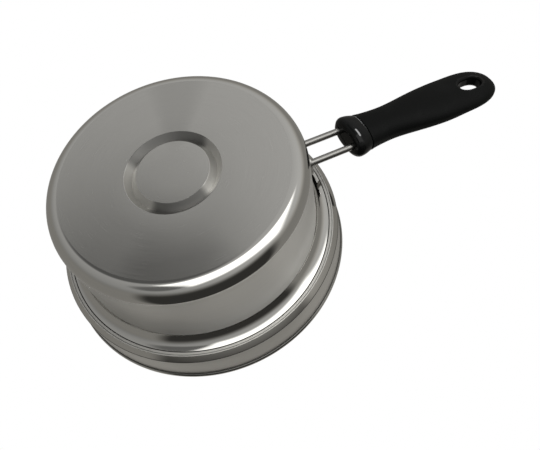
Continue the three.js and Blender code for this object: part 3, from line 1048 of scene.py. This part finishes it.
def photo_camera(studio):
    """The camera's matrix: below the pot, tilted from its axis and rolled."""
    tilt, roll = studio.tilt, studio.roll
    ahead = Vector((0, math.sin(tilt), math.cos(tilt)))
    down = Vector((0, -math.cos(tilt), math.sin(tilt)))
    right = Vector((-1, 0, 0))
    rolled_right = right * math.cos(roll) + down * math.sin(roll)
    rolled_down = down * math.cos(roll) - right * math.sin(roll)
    across = (studio.seen_x - 0.5) / studio.focal
    below = (studio.seen_y - 0.5) * IMAGE_HEIGHT / IMAGE_WIDTH / studio.focal
    place = -(rolled_right * across + rolled_down * below + ahead) * studio.depth
    axes = Matrix((rolled_right, -rolled_down, -ahead)).transposed().to_4x4()
    return Matrix.Rotation(-studio.azimuth, 4, "Z") @ Matrix.Translation(place) @ axes


# Directions from the pot to the two patches that are shaded in the drawn surroundings
SHADE_BELOW = (-0.15, -0.44, -0.885)
SHADE_LEFT = (-0.46, 0.24, -0.855)

# Soft lamps, all turned to one point of the pot: name, place, width and power
LAMPS = (
    ("key_above", (-0.55, -0.75, 1.15), 0.9, 13.0),
    ("fill_above", (0.9, 0.5, 0.9), 0.9, 5.0),
    ("key_below", (0.45, 0.55, -0.75), 0.7, 6.0),
)
LAMPS_AIM = Vector((0.06, 0, 0.04))


def studio_world(world):
    """White for the camera. Steel mirrors a grey room: a soft box below, a dark corner, two shades."""
    world.use_nodes = True
    finish = Finish(world.node_tree)
    (x, y, z), _ = finish.coordinates("Generated")

    def patch(towards):
        """A round patch with a soft edge in one direction."""
        return (towards[0] * x + towards[1] * y + towards[2] * z).rises(0.95, 0.99)

    box_x = x.rises(-0.38, -0.28) * (1 - x.rises(0.56, 0.74))
    box_y = y.rises(-0.14, -0.04) * (1 - y.rises(0.46, 0.66))
    soft_box = box_x * box_y * (1 - z.rises(-0.5, -0.3))
    angle = y.math("ARCTAN2", y, x)
    dark_corner = angle.between(math.radians(52), math.radians(152), 0.12)
    dark_corner = dark_corner * z.rises(-0.62, -0.1) * (1 - z.rises(0.82, 0.86))
    walls = 0.46 - 0.2 * z.rises(-0.7, 0.05)
    right_side = 0.16 * x * (1 - z.rises(-0.5, 0.0))
    ceiling = 0.3 * z.rises(0.83, 0.88)
    room = (walls + right_side + ceiling) * (1 - 0.85 * dark_corner)
    room = room * (1 - 0.75 * patch(SHADE_BELOW)) * (1 - 0.6 * patch(SHADE_LEFT))
    glow = room + 1.5 * soft_box
    lamp_white, room_warm = (1.0, 0.995, 0.98), (1.0, 0.97, 0.91)
    tint = finish.blend(z.rises(-0.55, -0.2), lamp_white, room_warm)
    mirrored = finish.add("ShaderNodeBackground", None, {"Color": tint, "Strength": glow})
    white = finish.add("ShaderNodeBackground", None, {"Color": (1.0, 1.0, 1.0, 1.0), "Strength": 1.0})
    seen = finish.add("ShaderNodeLightPath").outputs["Is Camera Ray"]
    mix = finish.add("ShaderNodeMixShader", None, {0: seen, 1: mirrored.outputs[0], 2: white.outputs[0]})
    finish.add("ShaderNodeOutputWorld", None, {"Surface": mix.outputs[0]})


class RAMENPOT_OT_studio(bpy.types.Operator):
    """Set the drawn surroundings, the pale floor, the soft lamps and the camera"""
    bl_idname = "ramen_pot.studio"
    bl_label = "Studio"

    def execute(self, context):
        scene = context.scene
        studio = scene.ramen_pot_studio
        scene.view_settings.view_transform = "Standard"
        scene.world = bpy.data.worlds.new("studio")
        studio_world(scene.world)
        self.floor(studio)
        self.lamps(scene)
        self.collar_strip(scene)
        lens = bpy.data.cameras.new("photo_camera")
        lens.sensor_width = SENSOR_MM
        lens.lens = SENSOR_MM * studio.focal
        lens.clip_start = 0.01
        camera = bpy.data.objects.new("photo_camera", lens)
        camera.matrix_world = photo_camera(studio)
        scene.collection.objects.link(camera)
        scene.camera = camera
        return {"FINISHED"}

    def floor(self, studio):
        """A pale floor that fades to white, is seen from above and is clear from below."""
        clear_selection()
        just_below = (0, 0, -0.0002)
        bpy.ops.mesh.primitive_circle_add(vertices=96, radius=4.0, fill_type="NGON", location=just_below)
        floor = bpy.context.object
        floor.name = "studio_floor"
        material, finish = new_material("studio_floor")
        (x, y, _), vector = finish.coordinates()
        pale = tuple(studio.floor_colour)
        darker = tuple(value * 0.985 for value in pale)
        tint = finish.blend(finish.noise(vector, 9.0), pale, darker)
        shader = finish.add("ShaderNodeBsdfPrincipled", None, {"Base Color": tint, "Roughness": 0.9})
        fade_start, fade_end = 0.3, 0.95
        far = ((x * x + y * y) ** 0.5).rises(fade_start, fade_end)
        white = finish.add("ShaderNodeEmission", None, {"Strength": 1.0})
        faded = finish.add("ShaderNodeMixShader", None, {0: far, 1: shader.outputs[0], 2: white.outputs[0]})
        clear = finish.add("ShaderNodeBsdfTransparent")
        back = finish.add("ShaderNodeNewGeometry").outputs["Backfacing"]
        mix = finish.add("ShaderNodeMixShader", None, {0: back, 1: faded.outputs[0], 2: clear.outputs[0]})
        finish.add("ShaderNodeOutputMaterial", None, {"Surface": mix.outputs[0]})
        floor.data.materials.append(material)
        floor.visible_diffuse = False
        floor.visible_glossy = False
        floor.visible_shadow = False
        floor.visible_transmission = False

    def lamps(self, scene):
        """Soft lamps: two above for the upright views, one below for the photograph's view."""
        for name, place, size, power in LAMPS:
            light = bpy.data.lights.new(name, "AREA")
            light.size = size
            light.energy = power
            lamp = bpy.data.objects.new(name, light)
            lamp.visible_glossy = False
            aim = (LAMPS_AIM - Vector(place)).to_track_quat("-Z", "Y")
            lamp.matrix_world = Matrix.Translation(place) @ aim.to_matrix().to_4x4()
            scene.collection.objects.link(lamp)

    def collar_strip(self, scene):
        """A narrow lamp in front of the collar, which lights the collar alone, for its highlight."""
        collar, distance = Vector((0.112, 0, 0.045)), 0.5
        away = Vector((0.6, -0.2, -0.77)).normalized()
        across = Vector((0, 1, 0)).cross(away).normalized()
        axes = Matrix((across, away.cross(across), away)).transposed()
        light = bpy.data.lights.new("collar_strip", "AREA")
        light.shape = "RECTANGLE"
        light.size = 0.12
        light.size_y = 0.28
        light.energy = 2.6
        lamp = bpy.data.objects.new("collar_strip", light)
        lamp.matrix_world = Matrix.Translation(collar + distance * away) @ axes.to_4x4()
        lit = bpy.data.collections.new("lit_by_collar_strip")
        lit.objects.link(bpy.data.objects["grip_collar_gloss"])
        lamp.light_linking.receiver_collection = lit
        scene.collection.objects.link(lamp)


OPERATORS = (
    RAMENPOT_OT_body,
    RAMENPOT_OT_bracket,
    RAMENPOT_OT_rods,
    RAMENPOT_OT_collar,
    RAMENPOT_OT_grip,
    RAMENPOT_OT_studio,
)


class RAMENPOT_PT_panel(bpy.types.Panel):
    """The pot's operators, in the order in which they run"""
    bl_label = "Ramen pot"
    bl_idname = "RAMENPOT_PT_panel"
    bl_space_type = "VIEW_3D"
    bl_region_type = "UI"
    bl_category = "Ramen pot"

    def draw(self, context):
        for operator in OPERATORS:
            self.layout.operator(operator.bl_idname)


GROUPS = {
    "ramen_pot_body": RamenPotBodySizes,
    "ramen_pot_handle": RamenPotHandleSizes,
    "ramen_pot_finishes": RamenPotFinishes,
    "ramen_pot_studio": RamenPotStudio,
}


def register():
    for name, group in GROUPS.items():
        bpy.utils.register_class(group)
        setattr(bpy.types.Scene, name, PointerProperty(type=group))
    for kind in (*OPERATORS, RAMENPOT_PT_panel):
        bpy.utils.register_class(kind)


def unregister():
    for kind in (RAMENPOT_PT_panel, *reversed(OPERATORS)):
        bpy.utils.unregister_class(kind)
    for name, group in GROUPS.items():
        delattr(bpy.types.Scene, name)
        bpy.utils.unregister_class(group)


def main():
    register()
    bpy.ops.ramen_pot.body()
    bpy.ops.ramen_pot.bracket()
    bpy.ops.ramen_pot.rods()
    bpy.ops.ramen_pot.collar()
    bpy.ops.ramen_pot.grip()
    bpy.ops.ramen_pot.studio()


if __name__ == "__main__":
    main()
